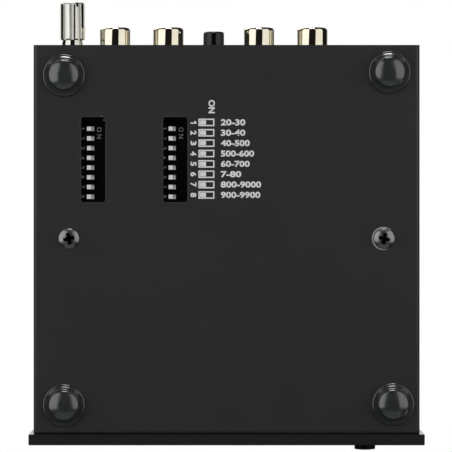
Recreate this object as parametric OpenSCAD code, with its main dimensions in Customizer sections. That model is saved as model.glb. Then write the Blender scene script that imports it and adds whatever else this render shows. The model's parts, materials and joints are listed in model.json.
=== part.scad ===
// Phono preamplifier: a small folded steel case with its circuit board, sockets and switches.
// Frame: +Z up, front at -Y, +X to the right seen from the front, feet standing on z = 0.
// The origin lies under the middle of the whole part's box. All sizes are in millimetres.

/* [Case] */
// Width of the folded steel case
case_w = 100.5; // [98:0.5:130]
// Depth of the case, from the back of the front panel to the rear face
case_l = 101.3; // [100:0.1:140]
// Height of the case, without feet
case_h = 31.5; // [30.5:0.5:50]
// Thickness of the steel sheet
sheet_t = 0.8; // [0.6:0.05:1]
// Outer radius of the bends in the sheet
bend_r = 1.1; // [1.05:0.05:1.5]
// Height of the tray's side lips above the plate's outer face
lip_h = 7; // [6:0.5:8.5]
// Slit between a side lip and the front wall next to it
corner_slit = 0.3; // [0.2:0.05:0.5]
// Length of the rear panel's flange on the tray's floor
rear_flange_l = 7; // [5:0.5:7]
// Gap between the cover's edges and the sheet or panel that they meet
seam = 0.15; // [0.1:0.05:0.25]

/* [Front panel] */
// Thickness of the front panel
panel_t = 2.8; // [2.5:0.1:5]
// How far the front panel stands past each side of the case
panel_side = 1.25; // [0.5:0.05:4]
// How far the front panel reaches below the case
panel_drop = 1; // [0.5:0.1:2.5]
// How far the front panel rises above the case
panel_rise = 1; // [0.5:0.1:4]
// Chamfer round the front panel's front edges
panel_chamfer = 0.2; // [0.15:0.05:0.8]
// Diameter of the screws that hold the front panel from inside
panel_screw_d = 2; // [1.6:0.1:2.5]
// Depth of the threaded blind holes in the front panel
panel_hole_depth = 1.8; // [1.5:0.1:2]
// Distance of the panel screws from the sides of the case
panel_screw_side = 6.25; // [5.5:0.25:8]
// Distance of the lower and upper panel screws from the bottom and top of the case
panel_screw_edge = 5.5; // [5:0.25:6.5]

/* [Feet] */
// Height of the rubber feet below the plate
foot_h = 4.5; // [3.8:0.1:8]
// Diameter of a foot's flange
foot_flange_d = 11; // [10:0.5:13]
// Height of a foot's flange
foot_flange_h = 1.3; // [1:0.1:2]
// Diameter of a foot's dome
foot_dome_d = 8; // [7:0.25:8.5]
// Diameter of the flat on which a foot stands
foot_flat_d = 2.6; // [2:0.2:4]
// Radius of the dome's shallow crown
foot_crown_r = 8.2; // [7:0.1:12]
// Radius of the edge between the crown and the dome's side
foot_shoulder_r = 0.8; // [0.4:0.1:1]
// Radius of the flange's edge
foot_flange_edge = 0.45; // [0.3:0.05:0.6]
// Height of the step on the flange
foot_step = 0.2; // [0.1:0.05:0.4]
// Radius of the fillet between flange and dome
foot_fillet = 0.5; // [0.3:0.1:0.6]
// Distance of the feet from the sides of the case
foot_side = 7.75; // [7:0.25:12]
// Distance of the feet from the rear face and from the front panel
foot_end = 7.5; // [7:0.25:12]

/* [Cover screws] */
// Diameter of the screws that hold the cover
screw_d = 3; // [2.5:0.1:3.5]
// Diameter of their heads
screw_head_d = 5.3; // [5.2:0.1:7]
// Height of their heads
screw_head_h = 1.9; // [1.6:0.1:2.4]
// How far their cross recesses are turned, each the other way round, in degrees
cover_screw_turn = 13; // [0:1:44]
// Distance of the cover screws from the sides of the case
screw_side = 9.25; // [8.5:0.25:11]
// Distance of the cover screws from the front panel's back
screw_from_front = 50.9; // [45:0.2:56]
// Width of the tabs on the cover that take the screws
tab_w = 16; // [10:1:18]
// Height of the nuts pressed into the tabs
tab_nut_h = 2; // [1.5:0.1:2.6]

/* [Circuit board] */
// Thickness of the circuit board
pcb_t = 1.6; // [1.2:0.1:2]
// Length of the standoffs that carry the board
standoff_h = 10; // [9.5:0.5:11]
// Width of a standoff across its flats
standoff_flats = 5; // [4.5:0.25:6]
// Diameter of the screws that hold the board
pcb_screw_d = 3; // [2.5:0.1:3.2]
// Distance of the standoffs from the board's side edges
standoff_side = 4.3; // [4:0.1:5]
// Distance of the rear standoffs from the board's rear edge
standoff_rear = 11; // [10:0.5:12]
// Distance of the front standoffs from the board's front edge
standoff_front = 4.5; // [4:0.25:6]
// Gap between the board and the cover's sides
pcb_side_gap = 1.15; // [1.05:0.05:1.4]
// Gap between the board and the rear wall
pcb_rear_gap = 0.6; // [0.3:0.1:1]
// Gap between the board and the front wall
pcb_front_gap = 3; // [2.5:0.25:3.5]

/* [Option switches] */
// Number of sliders on each switch block
dip_count = 8; // [4:1:8]
// Distance between neighbouring sliders
dip_pitch = 2.54; // [2.4:0.02:2.6]
// Width of a switch block
dip_w = 9.6; // [8.5:0.1:9.8]
// Height of a switch block, from the board to its face
dip_h = 5.3; // [4.8:0.1:6]
// Length of a switch block beyond its first and last pitch
dip_end = 1.9; // [1:0.1:2.2]
// Distance of the outer block's centre from the side of the case
dip_side = 14.95; // [14.3:0.05:15.7]
// Distance between the centres of the two blocks
dip_spacing = 21.35; // [16:0.05:25]
// Distance of the blocks' centres from the rear face
dip_from_rear = 30.55; // [28:0.1:34]
// Width of a slider's knob, across its travel
nub_w = 1.1; // [0.9:0.05:1.3]
// Length of a slider's knob, along its travel
nub_l = 1.1; // [0.9:0.05:1.3]
// How far a slider's knob stands out of the block's face
nub_out = 0.45; // [0.2:0.05:0.8]
// Travel of a slider
nub_travel = 1.3; // [1:0.05:1.5]
// Length of a slider's foot inside the block, along its travel
slide_l = 2.6; // [2.2:0.1:3]
// Clearance round a slider
slider_gap = 0.06; // [0.04:0.01:0.1]
// How far a lead stands out of a switch block's side
lead_out = 0.7; // [0.5:0.05:0.9]
// Length of a lead's toe on the board
lead_toe = 0.7; // [0.5:0.05:0.9]
// Width of the windows in the plate
window_w = 6.3; // [5.5:0.1:7]
// Length of the windows in the plate
window_l = 22.1; // [21.5:0.1:24]
// Corner radius of the windows
window_r = 0.65; // [0.4:0.05:1]
// How far the windows' middle lies inward of the blocks' middle
window_shift_x = 0.6; // [0:0.1:1]
// How far the windows' middle lies behind the blocks' middle
window_shift_y = 0.7; // [0:0.1:1]

/* [Phono sockets] */
// Outer diameter of a socket's shell
rca_d = 8.1; // [8:0.05:8.4]
// Wall of a socket's shell
rca_wall = 0.5; // [0.4:0.05:0.7]
// How far the shells stand out of the rear face
rca_out = 5.4; // [4.5:0.1:8]
// Radius of the edge round a shell's mouth
rca_edge_r = 0.9; // [0.6:0.05:1]
// Distance between the two sockets of a pair
rca_pitch = 14.1; // [13.8:0.1:14.4]
// Distance of the input pair's centre from the ground terminal
rca_from_ground = 18.35; // [18:0.05:19]
// Height of the sockets' axes above the board
rca_axis_h = 7.1; // [6.8:0.1:8]
// Height of a socket pair's housing
rca_housing_h = 13.4; // [12.5:0.1:14]
// Width of a housing beyond the pitch of its sockets
rca_housing_margin = 13; // [11.5:0.1:13.2]
// Depth of a housing
rca_housing_l = 13; // [12:0.5:15]
// How deep a shell is seated in its housing
rca_seat = 3; // [2:0.25:4]
// Bore of a socket's centre contact
rca_bore_d = 3.25; // [3.2:0.05:3.4]
// Wall of a centre contact
rca_contact_wall = 0.35; // [0.3:0.05:0.45]
// Length of the bore in a centre contact
rca_bore_l = 9; // [8:0.5:10]
// How far the insulator lies inside the shell's mouth
rca_recess = 0.5; // [0.3:0.1:1]
// How far the centre contact lies inside the insulator's face
rca_contact_recess = 0.8; // [0.4:0.1:1.2]
// Clearance round parts that are fitted into each other
fit_gap = 0.05; // [0.03:0.01:0.08]
// Clearance round a socket in its hole in the rear wall
rear_hole_gap = 0.3; // [0.2:0.05:0.5]

/* [Power socket] */
// Distance of the power socket from the centre of each socket pair
dc_from_rca = 19.05; // [18.8:0.05:20]
// Height of the power socket's axis above the board
dc_axis_h = 5; // [4.6:0.1:6.5]
// Outer diameter of its collar
dc_d = 5.5; // [5.2:0.1:6]
// How far the collar stands out of the rear face
dc_out = 4.2; // [3:0.1:6]
// Radius of the edge round the collar's mouth
dc_edge_r = 0.6; // [0.3:0.05:0.7]
// Diameter of its bore
dc_bore_d = 3.6; // [3.5:0.05:3.9]
// Depth of its bore
dc_bore_l = 14; // [11:0.5:15]
// Width of its body
dc_body_w = 9; // [8:0.25:9.2]
// Depth of its body
dc_body_l = 12; // [12:0.5:16]

/* [Ground terminal] */
// Distance of the ground terminal from the side of the case
ground_side = 9.45; // [8.8:0.05:9.8]
// Diameter of the knob
knob_d = 6.7; // [6:0.1:8]
// Length of the knob
knob_l = 10; // [8:0.5:14]
// Number of flutes round the knob
knob_flutes = 10; // [8:1:12]
// Radius of a flute
flute_r = 0.55; // [0.4:0.05:0.6]
// Width of the screwdriver slot across the knob's end
knob_slot_w = 0.9; // [0.6:0.1:1.2]
// Depth of that slot
knob_slot_depth = 1.2; // [0.8:0.1:2]
// How far that slot is turned from upright, in degrees
knob_slot_turn = 117; // [0:1:179]
// Thickness of the captive washer under the knob
washer_t = 0.4; // [0.3:0.05:0.6]
// Diameter of the bushing's collar outside the case
collar_d = 5.5; // [5:0.1:6]
// Length of that collar
collar_l = 1.6; // [1.2:0.1:3]
// Outer diameter of the bushing's sleeve
sleeve_d = 4; // [3.8:0.1:4.4]
// Diameter of the knob's screw
ground_screw_d = 2.5; // [2:0.1:2.6]
// Radial clearance between the knob's screw and the bushing
ground_screw_gap = 0.04; // [0.02:0.01:0.06]
// Width of the bushing's nut across its flats
ground_nut_flats = 6.5; // [6:0.1:7]
// Thickness of that nut
ground_nut_t = 2.2; // [2:0.1:3]
// Thickness of the solder lug
lug_t = 0.5; // [0.4:0.05:0.7]
// Diameter of the ground wire
wire_d = 1.2; // [1:0.1:1.4]
// Radius of the loop in which the ground wire turns over
wire_loop_r = 2.6; // [2.2:0.1:3]
// Gap between that loop and the cover
wire_top_gap = 1.15; // [0.5:0.05:1.5]
// Gap between the nut and the end of the wire above it
wire_nut_gap = 0.4; // [0.2:0.1:1]

/* [Power button] */
// Distance of the power button from the side of the case
button_side = 13.75; // [13.5:0.05:14.5]
// Diameter of the power button
button_d = 5.5; // [5:0.1:5.9]
// Radius of the edge round its end
button_edge_r = 0.3; // [0.2:0.05:0.6]
// How far the button stands out of the front panel
button_out = 2.1; // [2:0.1:3.5]
// Travel of the button
button_travel = 1.8; // [1.2:0.1:1.9]
// Clearance round the button in the panel
button_gap = 0.25; // [0.15:0.05:0.4]
// Height of the button's axis above the board
button_axis_h = 4.3; // [4.2:0.1:5]
// Width and height of the switch body
switch_w = 8.4; // [7.5:0.1:8.5]
// Depth of the switch body
switch_l = 13.5; // [12.5:0.5:16]
// Width of the switch's square plunger
plunger_w = 3; // [2.5:0.1:3.2]
// Free length of the spring in the switch
spring_l = 5; // [4.5:0.1:6]
// Wire diameter of that spring
spring_wire_d = 0.35; // [0.3:0.05:0.4]

/* [Power light] */
// Distance between the power light and the button
led_from_button = 8.5; // [7.5:0.25:12]
// Diameter of the power light
led_d = 3; // [2.8:0.1:3.2]
// Clearance round the power light in the panel
led_gap = 0.12; // [0.08:0.02:0.2]

/* [Parts on the board] */
// Length of a chip's body
chip_l = 9.4; // [9:0.1:10]
// Width of a chip's body
chip_w = 6.4; // [6:0.1:7]
// Height of a chip's body
chip_h = 3.2; // [3:0.1:4]
// Gap between a chip's body and the board
chip_stand = 0.5; // [0.3:0.1:1]
// Distance between a chip's legs
chip_leg_pitch = 2.54; // [2:0.02:2.6]
// Distance of the outer chips from the middle one, across the board
chip_side = 16; // [12:0.5:18]
// Distance of the outer chips from the middle one, along the board
chip_step = 11; // [10:0.5:14]
// Distance of the chips from the board's rear edge
chip_rear = 37; // [34:0.5:40]
// Width of the voltage regulator
regulator_w = 10; // [9:0.5:11]
// Depth of the voltage regulator
regulator_l = 4.4; // [4:0.1:5]
// Height of the voltage regulator's body
regulator_h = 9; // [8:0.5:10]
// Length of its legs above the board
regulator_leg = 2; // [1:0.5:3]
// Distance of the voltage regulator from the board's rear edge
regulator_rear = 20; // [18:0.5:24]
// Diameter of the small can capacitors
small_can_d = 6.3; // [5:0.1:7]
// Height of the small can capacitors
small_can_h = 11; // [9:0.5:12]
// Distance between neighbouring small can capacitors
small_can_pitch = 11; // [8:0.5:12]
// Distance of the small can capacitors from the middle
small_can_side = 7; // [5:0.5:10]
// Distance of the first small can capacitor from the board's front edge
small_can_front = 12; // [6:0.5:14]
// Diameter of the large can capacitors
large_can_d = 8; // [7:0.5:10]
// Height of the large can capacitors
large_can_h = 12; // [10:0.5:13]
// Distance between neighbouring large can capacitors
large_can_pitch = 12; // [9:0.5:14]
// Gap between the large can capacitors and the power switch
large_can_gap = 2.3; // [1:0.1:4]
// Distance of the first large can capacitor from the board's front edge
large_can_front = 16; // [8:0.5:18]
// Thickness of a film capacitor
film_t = 3; // [2.5:0.1:4]
// Length of a film capacitor
film_l = 7.2; // [6:0.1:8]
// Height of a film capacitor
film_h = 7; // [5:0.5:8]
// Distance between neighbouring film capacitors
film_pitch = 10; // [8.5:0.5:12]
// Distance of the film capacitors from the board's side edges
film_side = 12.3; // [10:0.1:14]
// Distance of the first film capacitor from the board's rear edge
film_rear = 30.4; // [26:0.2:34]
// Width of a resistor
resistor_w = 2; // [1.6:0.1:3.2]
// Length of a resistor
resistor_l = 1.25; // [0.8:0.05:1.6]
// Height of a resistor
resistor_h = 0.6; // [0.4:0.05:0.8]
// Distance between neighbouring resistors
resistor_pitch = 3.2; // [2:0.1:4]
// Distance of the resistors from the middle
resistor_side = 26; // [22:0.5:30]
// Distance of the first resistor from the board's rear edge
resistor_rear = 24; // [20:0.5:28]

/* [Hidden] */
$fn = 48;

// Overall layout
cut = 1;
steel = "#2b2b2d";
gold = "#c9a54a";
chrome = "#c8c8c6";
ground_l = collar_l + washer_t + knob_l;
total_l = button_out + panel_t + case_l + ground_l;
panel_front_y = button_out - total_l / 2;
case_y0 = panel_front_y + panel_t;
case_y1 = case_y0 + case_l;
plate_z = foot_h;
floor_z = plate_z + sheet_t;
case_top_z = plate_z + case_h;
side_x = case_w / 2;
wall_x = side_x - sheet_t;
front_wall_y = case_y0 + sheet_t;
rear_wall_y = case_y1 - sheet_t;
lip_top_z = plate_z + lip_h;
cover_bottom_z = lip_top_z + seam;
wall_top_z = case_top_z - sheet_t - seam;
bend_in_r = bend_r - sheet_t;

// Cover tabs and their screws
screw_y = case_y0 + screw_from_front;
screw_x = side_x - screw_side;
tab_x = wall_x - 0.1;
tab_inner_x = screw_x - screw_head_d / 2;
tab_nut_d = screw_d + 2.4;

// Circuit board
pcb_z = floor_z + standoff_h;
pcb_top_z = pcb_z + pcb_t;
pcb_x = wall_x - pcb_side_gap;
pcb_y0 = front_wall_y + pcb_front_gap;
pcb_y1 = rear_wall_y - pcb_rear_gap;
standoff_x = pcb_x - standoff_side;
standoff_places = [
    [-standoff_x, pcb_y0 + standoff_front], [standoff_x, pcb_y0 + standoff_front],
    [-standoff_x, pcb_y1 - standoff_rear], [standoff_x, pcb_y1 - standoff_rear]
];
pcb_screw_head_d = pcb_screw_d * 1.8;
standoff_bore_l = 7;
thread_gap = 0.05;

// Option switches
dip_outer_x = side_x - dip_side;
dip_inner_x = dip_outer_x - dip_spacing;
dip_y = case_y1 - dip_from_rear;
dip_face_z = pcb_z - dip_h;
dip_l = dip_count * dip_pitch + dip_end;
slot_l = nub_l + nub_travel + 2 * slider_gap;
slot_w = nub_w + 2 * slider_gap;
slider_rest_x = slot_l / 2 - slider_gap - nub_l / 2;
dip_lid_t = 0.9;
slide_w = nub_w + 0.6;
slide_h = 1;
lead_t = 0.25;
lead_w = 0.5;

// Phono sockets and power socket stand in a row beside the ground terminal
ground_x = side_x - ground_side;
rca_in_x = ground_x - rca_from_ground;
dc_x = rca_in_x - dc_from_rca;
rca_out_x = dc_x - dc_from_rca;
rca_z = pcb_top_z + rca_axis_h;
rca_tip_y = case_y1 + rca_out;
housing_face_y = rear_wall_y - 0.2;
rca_xs = [
    rca_in_x + rca_pitch / 2, rca_in_x - rca_pitch / 2,
    rca_out_x + rca_pitch / 2, rca_out_x - rca_pitch / 2
];
rca_neck = 0.2;
insulator_r = rca_d / 2 - rca_wall - fit_gap;
contact_r = rca_bore_d / 2 + rca_contact_wall;
contact_mouth_y = rca_tip_y - rca_recess - rca_contact_recess;
contact_end_y = contact_mouth_y - rca_bore_l - rca_contact_wall;
housing_back_y = housing_face_y - rca_housing_l;
tail_w = 1.2;
tail_t = 0.4;

// Power socket
dc_z = pcb_top_z + dc_axis_h;
dc_tip_y = case_y1 + dc_out;
dc_body_h = 2 * dc_axis_h;
dc_back_y = housing_face_y - dc_body_l;

// Ground terminal
ground_z = rca_z;
ground_shank_l = washer_t + collar_l + sheet_t + lug_t + ground_nut_t;
washer_d = collar_d - 0.3;
sleeve_l = sheet_t + lug_t + ground_nut_t + 0.6;
lug_tail_top_z = case_top_z - sheet_t - wire_top_gap - wire_d / 2 - wire_loop_r;
wire_y = rear_wall_y - lug_t - wire_d / 2;

// Power button and switch
button_x = button_side - side_x;
button_z = pcb_top_z + button_axis_h;
button_tip_y = panel_front_y - button_out;
plunger_gap = 0.08;
socket_depth = 2.8;
button_back_y = front_wall_y + 3.4;
switch_front_y = button_back_y + button_travel + 0.3;
plunger_y0 = button_back_y - socket_depth;
channel_end_y = switch_front_y + switch_l - 2;
plunger_y1 = channel_end_y - spring_l;
led_x = button_x + led_from_button;
led_base_y = front_wall_y + 1.5;

// Points on an arc round (x, y), from one angle to another
function arc(x, y, r, from, to, steps = 6) =
    [for (i = [0:steps]) let (a = from + (to - from) * i / steps) [x + r * cos(a), y + r * sin(a)]];

// Lays a solid that was drawn along +Z down, so that it points along +Y
module along_y(at) {
    translate(at) rotate([-90, 0, 0]) children();
}

// A block with its two lower long edges rounded, drawn along Y. The upper edges stay square.
module folded_y(half_w, y0, y1, z0, z1, r) {
    translate([0, y1, 0]) rotate([90, 0, 0]) linear_extrude(y1 - y0)
        polygon(concat([[half_w, z1], [-half_w, z1]],
                       arc(r - half_w, z0 + r, r, 180, 270), arc(half_w - r, z0 + r, r, 270, 360)));
}

// A block whose lower edges are rounded at the front and on both sides
module folded_block(half_w, y0, y1, z0, z1, r) {
    intersection() {
        folded_y(half_w, y0, y1, z0, z1, r);
        translate([-half_w, 0, 0]) rotate([90, 0, 90]) linear_extrude(2 * half_w)
            polygon(concat([[y1, z0], [y1, z1], [y0, z1]], arc(y0 + r, z0 + r, r, 180, 270)));
    }
}

// A rounded window through the plate, round a switch block at x
module window(x) {
    translate([x - window_shift_x, dip_y + window_shift_y, plate_z - cut])
        linear_extrude(sheet_t + 2 * cut) union() {
            square([window_w - 2 * window_r, window_l], center = true);
            square([window_w, window_l - 2 * window_r], center = true);
            for (sx = [-1, 1], sy = [-1, 1])
                translate([sx * (window_w / 2 - window_r), sy * (window_l / 2 - window_r)])
                    circle(window_r);
        }
}

// Places of the four panel screws, as x and z
module at_panel_screws() {
    for (sx = [-1, 1], z = [plate_z + panel_screw_edge, case_top_z - panel_screw_edge])
        translate([sx * (side_x - panel_screw_side), 0, z]) children();
}

module chassis_tray() {
    color(steel) difference() {
        folded_block(side_x, case_y0, case_y1, plate_z, wall_top_z, bend_r);
        folded_block(wall_x, front_wall_y, case_y1 + cut, floor_z, wall_top_z + cut, bend_in_r);
        // The side lips are low, and the front wall above them fits between the cover's sides
        for (s = [-1, 1])
            translate([s * (wall_x + case_w / 2 - seam), (case_y0 + case_y1) / 2, lip_top_z + case_h / 2])
                cube([case_w, case_l + 2 * cut, case_h], center = true);
        for (s = [-1, 1])
            translate([s > 0 ? wall_x - bend_in_r : -side_x - cut, front_wall_y, plate_z + bend_r])
                cube([sheet_t + bend_in_r + cut, corner_slit, lip_h]);
        window(dip_outer_x);
        window(dip_inner_x);
        for (s = [-1, 1])
            translate([s * screw_x, screw_y, plate_z - cut])
                cylinder(d = screw_d + 0.4, h = sheet_t + 2 * cut);
        front_hole(button_x, button_z, button_d + 4 * button_gap);
        front_hole(led_x, button_z, led_d + 4 * led_gap);
        at_panel_screws() along_y([0, case_y0 - cut, 0])
            cylinder(d = panel_screw_d + 0.4, h = sheet_t + 2 * cut);
    }
}

// The rear panel stands between the cover's sides, its flange welded down on the tray's floor
module rear_panel() {
    half_w = wall_x - bend_in_r - fit_gap;
    flange_y = rear_wall_y - rear_flange_l;
    bend_y = case_y1 - bend_r;
    bend_z = floor_z + bend_r;
    color(steel) difference() {
        translate([-half_w, 0, 0]) rotate([90, 0, 90]) linear_extrude(2 * half_w)
            polygon(concat([[flange_y, floor_z + sheet_t], [flange_y, floor_z]],
                           arc(bend_y, bend_z, bend_r, 270, 360),
                           [[case_y1, wall_top_z], [rear_wall_y, wall_top_z]],
                           arc(bend_y, bend_z, bend_in_r, 360, 270)));
        for (x = rca_xs) rear_hole(x, rca_z, rca_d + 2 * rear_hole_gap);
        rear_hole(dc_x, dc_z, dc_d + 2 * rear_hole_gap);
        rear_hole(ground_x, ground_z, sleeve_d + 2 * fit_gap);
    }
}

module rear_hole(x, z, d) {
    along_y([x, rear_wall_y - cut, z]) cylinder(d = d, h = sheet_t + 2 * cut);
}

module front_hole(x, z, d) {
    along_y([x, case_y0 - cut, z]) cylinder(d = d, h = sheet_t + 2 * cut);
}

// Half of the cover's section: the wall steps in behind the lip and turns under into the tab
module tab_section() {
    polygon(concat(
        [[tab_inner_x, floor_z]],
        arc(tab_x - bend_r, floor_z + bend_r, bend_r, 270, 360),
        [[tab_x, cover_bottom_z], [wall_x + sheet_t / 2, cover_bottom_z + 0.5],
         [wall_x + sheet_t / 2, cover_bottom_z + 2.2], [wall_x, cover_bottom_z + 1.8],
         [tab_x - sheet_t, cover_bottom_z + 0.6]],
        arc(tab_x - bend_r, floor_z + bend_r, bend_in_r, 360, 270),
        [[tab_inner_x, floor_z + sheet_t]]));
}

module top_cover() {
    y0 = case_y0 + seam;
    color(steel) difference() {
        union() {
            difference() {
                translate([0, 0, 2 * case_top_z]) mirror([0, 0, 1])
                    folded_y(side_x, y0, case_y1, case_top_z, 2 * case_top_z - cover_bottom_z, bend_r);
                translate([0, 0, 2 * case_top_z]) mirror([0, 0, 1])
                    folded_y(wall_x, y0 - cut, case_y1 + cut, case_top_z + sheet_t,
                             2 * case_top_z - cover_bottom_z + cut, bend_in_r);
            }
            for (s = [0, 1]) mirror([s, 0, 0]) {
                translate([0, screw_y + tab_w / 2, 0]) rotate([90, 0, 0]) linear_extrude(tab_w) tab_section();
                translate([screw_x, screw_y, floor_z]) cylinder(d = tab_nut_d, h = sheet_t + tab_nut_h);
            }
        }
        for (s = [-1, 1])
            translate([s * screw_x, screw_y, floor_z - cut])
                cylinder(d = screw_d + 2 * thread_gap, h = sheet_t + tab_nut_h + 2 * cut);
    }
}

// A plate standing in the XZ plane whose front edges are chamfered
module chamfered_plate(half_w, z0, z1, y0, t, c) {
    intersection() {
        translate([0, 0, z0]) linear_extrude(z1 - z0)
            polygon([[c - half_w, y0], [half_w - c, y0], [half_w, y0 + c], [half_w, y0 + t],
                     [-half_w, y0 + t], [-half_w, y0 + c]]);
        translate([-half_w, 0, 0]) rotate([90, 0, 90]) linear_extrude(2 * half_w)
            polygon([[y0, z0 + c], [y0 + c, z0], [y0 + t, z0], [y0 + t, z1], [y0 + c, z1], [y0, z1 - c]]);
    }
}

module front_panel() {
    color("#202022") difference() {
        chamfered_plate(side_x + panel_side, plate_z - panel_drop, case_top_z + panel_rise,
                        panel_front_y, panel_t, panel_chamfer);
        along_y([button_x, panel_front_y - cut, button_z])
            cylinder(d = button_d + 2 * button_gap, h = panel_t + 2 * cut);
        along_y([led_x, panel_front_y - cut, button_z])
            cylinder(d = led_d + 2 * led_gap, h = panel_t + 2 * cut);
        at_panel_screws() along_y([0, case_y0 - panel_hole_depth, 0])
            cylinder(d = panel_screw_d + 2 * thread_gap, h = panel_hole_depth + cut);
    }
}

// A pan-head screw with a cross recess, its head's seat at z = 0 and its shank along +Z
module pan_screw(d, l, head_d, head_h, turn) {
    head_r = head_d / 2;
    crown_h = head_h * 0.7;
    crown_r = (head_r ^ 2 + crown_h ^ 2) / (2 * crown_h);
    crown_half = asin(head_r / crown_r);
    difference() {
        union() {
            cylinder(d = d, h = l);
            rotate_extrude() polygon(concat(
                [[0, 0], [head_r, 0]],
                arc(0, crown_r - head_h, crown_r, crown_half - 90, -90, 9)));
        }
        translate([0, 0, -head_h]) rotate([0, 0, turn]) {
            cube([head_d * 0.56, head_d * 0.16, head_h * 1.3], center = true);
            cube([head_d * 0.16, head_d * 0.56, head_h * 1.3], center = true);
            rotate([0, 0, 45]) cube([head_d * 0.24, head_d * 0.24, head_h * 1.3], center = true);
        }
    }
}

module panel_screws() {
    color("dimgray") at_panel_screws()
        translate([0, front_wall_y, 0]) rotate([90, 0, 0])
            pan_screw(panel_screw_d, sheet_t + panel_hole_depth - 0.2, panel_screw_d * 2,
                      panel_screw_d * 0.7, 0);
}

module cover_screws() {
    color("#1c1c1c") for (s = [-1, 1])
        translate([s * screw_x, screw_y, plate_z])
            pan_screw(screw_d, 2 * sheet_t + tab_nut_h, screw_head_d, screw_head_h, -s * cover_screw_turn);
}

// A rubber foot, seated at z = 0 and pointing down: a stepped flange, and a short post with a shallow crown
module foot() {
    dome_r = foot_dome_d / 2;
    flange_r = foot_flange_d / 2;
    rim_w = flange_r - dome_r;
    step_r = min(dome_r + 0.6 * rim_w, flange_r - foot_flange_edge);
    step_z = -foot_flange_h - foot_step;
    fillet = min(foot_fillet, 0.4 * rim_w);
    flat_r = foot_flat_d / 2;
    crown_z = sqrt(foot_crown_r ^ 2 - flat_r ^ 2) - foot_h;
    crown_end = asin((dome_r - foot_shoulder_r) / (foot_crown_r - foot_shoulder_r));
    shoulder_z = crown_z - (foot_crown_r - foot_shoulder_r) * cos(crown_end);
    rotate_extrude() polygon(concat(
        [[0, 0], [flange_r, 0]],
        arc(flange_r - foot_flange_edge, foot_flange_edge - foot_flange_h, foot_flange_edge, 0, -90),
        [[step_r, -foot_flange_h], [dome_r + 0.43 * rim_w, step_z]],
        arc(dome_r + fillet, step_z - fillet, fillet, 90, 180),
        arc(dome_r - foot_shoulder_r, shoulder_z, foot_shoulder_r, 0, crown_end - 90),
        arc(0, crown_z, foot_crown_r, crown_end - 90, asin(flat_r / foot_crown_r) - 90),
        [[0, -foot_h]]));
}

// How far each stuck-on foot sits from its even place
foot_slips = [[-0.2, -0.4], [0.1, 0.4], [-0.2, 0.1], [-0.8, 0.4]];

// Middles of the feet, the rear pair first
foot_places = [for (i = [0:3]) foot_slips[i] + [
    (i % 2 == 0 ? 1 : -1) * (side_x - foot_side),
    i < 2 ? case_y1 - foot_end : case_y0 + foot_end
]];

module feet() {
    color("#151515") for (p = foot_places) translate([p[0], p[1], plate_z]) foot();
}

module pcb_standoffs() {
    color("#b9a36a") for (p = standoff_places)
        translate([p[0], p[1], floor_z]) difference() {
            cylinder(d = standoff_flats / cos(30), h = standoff_h, $fn = 6);
            translate([0, 0, standoff_h - standoff_bore_l])
                cylinder(d = pcb_screw_d + 2 * thread_gap, h = standoff_bore_l + cut);
        }
}

module pcb_screws() {
    color(chrome) for (p = standoff_places)
        translate([p[0], p[1], pcb_top_z]) rotate([180, 0, 0])
            pan_screw(pcb_screw_d, pcb_t + standoff_bore_l - 1, pcb_screw_head_d, pcb_screw_d * 0.6, 0);
}

module main_pcb() {
    color("#14171a") difference() {
        translate([-pcb_x, pcb_y0, pcb_z]) cube([2 * pcb_x, pcb_y1 - pcb_y0, pcb_t]);
        for (p = standoff_places)
            translate([p[0], p[1], pcb_z - cut]) cylinder(d = pcb_screw_d + 0.3, h = pcb_t + 2 * cut);
    }
}

// Housing of a pair of sockets, centred at x
module rca_housing(x) {
    w = rca_pitch + rca_housing_margin;
    color("#17171a") difference() {
        translate([x - w / 2, housing_back_y, pcb_top_z]) cube([w, rca_housing_l, rca_housing_h]);
        // The two sockets are moulded as towers with a notch between them
        translate([x - 0.6, housing_back_y - cut, pcb_top_z + rca_housing_h - 3])
            cube([1.2, rca_housing_l + 2 * cut, 3 + cut]);
        for (s = [-1, 1]) {
            along_y([x + s * rca_pitch / 2, housing_back_y - cut, rca_z])
                cylinder(r = contact_r + fit_gap, h = rca_housing_l + 2 * cut);
            along_y([x + s * rca_pitch / 2, housing_face_y - rca_seat, rca_z]) difference() {
                cylinder(r = rca_d / 2 - rca_neck + fit_gap, h = rca_seat + cut);
                translate([0, 0, -cut]) cylinder(r = rca_d / 2 - rca_wall - fit_gap, h = rca_seat + 3 * cut);
            }
        }
    }
}

// A shell is a little slimmer where it passes the rear wall and sits in its housing, and its mouth is
// rolled in
module rca_shell(x) {
    l = rca_tip_y - housing_face_y + rca_seat;
    r = rca_d / 2;
    in_r = r - rca_wall;
    mouth_r = r - rca_edge_r;
    lip_t = rca_recess - fit_gap;
    neck_l = l - rca_out + 0.05;
    color(gold) along_y([x, housing_face_y - rca_seat, rca_z]) rotate_extrude()
        polygon(concat([[in_r, 0], [r - rca_neck, 0], [r - rca_neck, neck_l], [r, neck_l]],
                       arc(mouth_r, l - rca_edge_r, rca_edge_r, 0, 90, 8),
                       [[mouth_r, l - lip_t], [in_r, l - lip_t]]));
}

module rca_insulator(x, tint) {
    l = rca_tip_y - rca_recess - housing_face_y;
    color(tint) along_y([x, housing_face_y, rca_z]) difference() {
        cylinder(r = insulator_r, h = l);
        translate([0, 0, -cut]) cylinder(r = contact_r + fit_gap, h = l + 2 * cut);
        // Lead-in round the pin hole
        translate([0, 0, l - 0.4])
            cylinder(r1 = contact_r + fit_gap, r2 = contact_r + fit_gap + 0.5, h = 0.5);
    }
}

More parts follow.
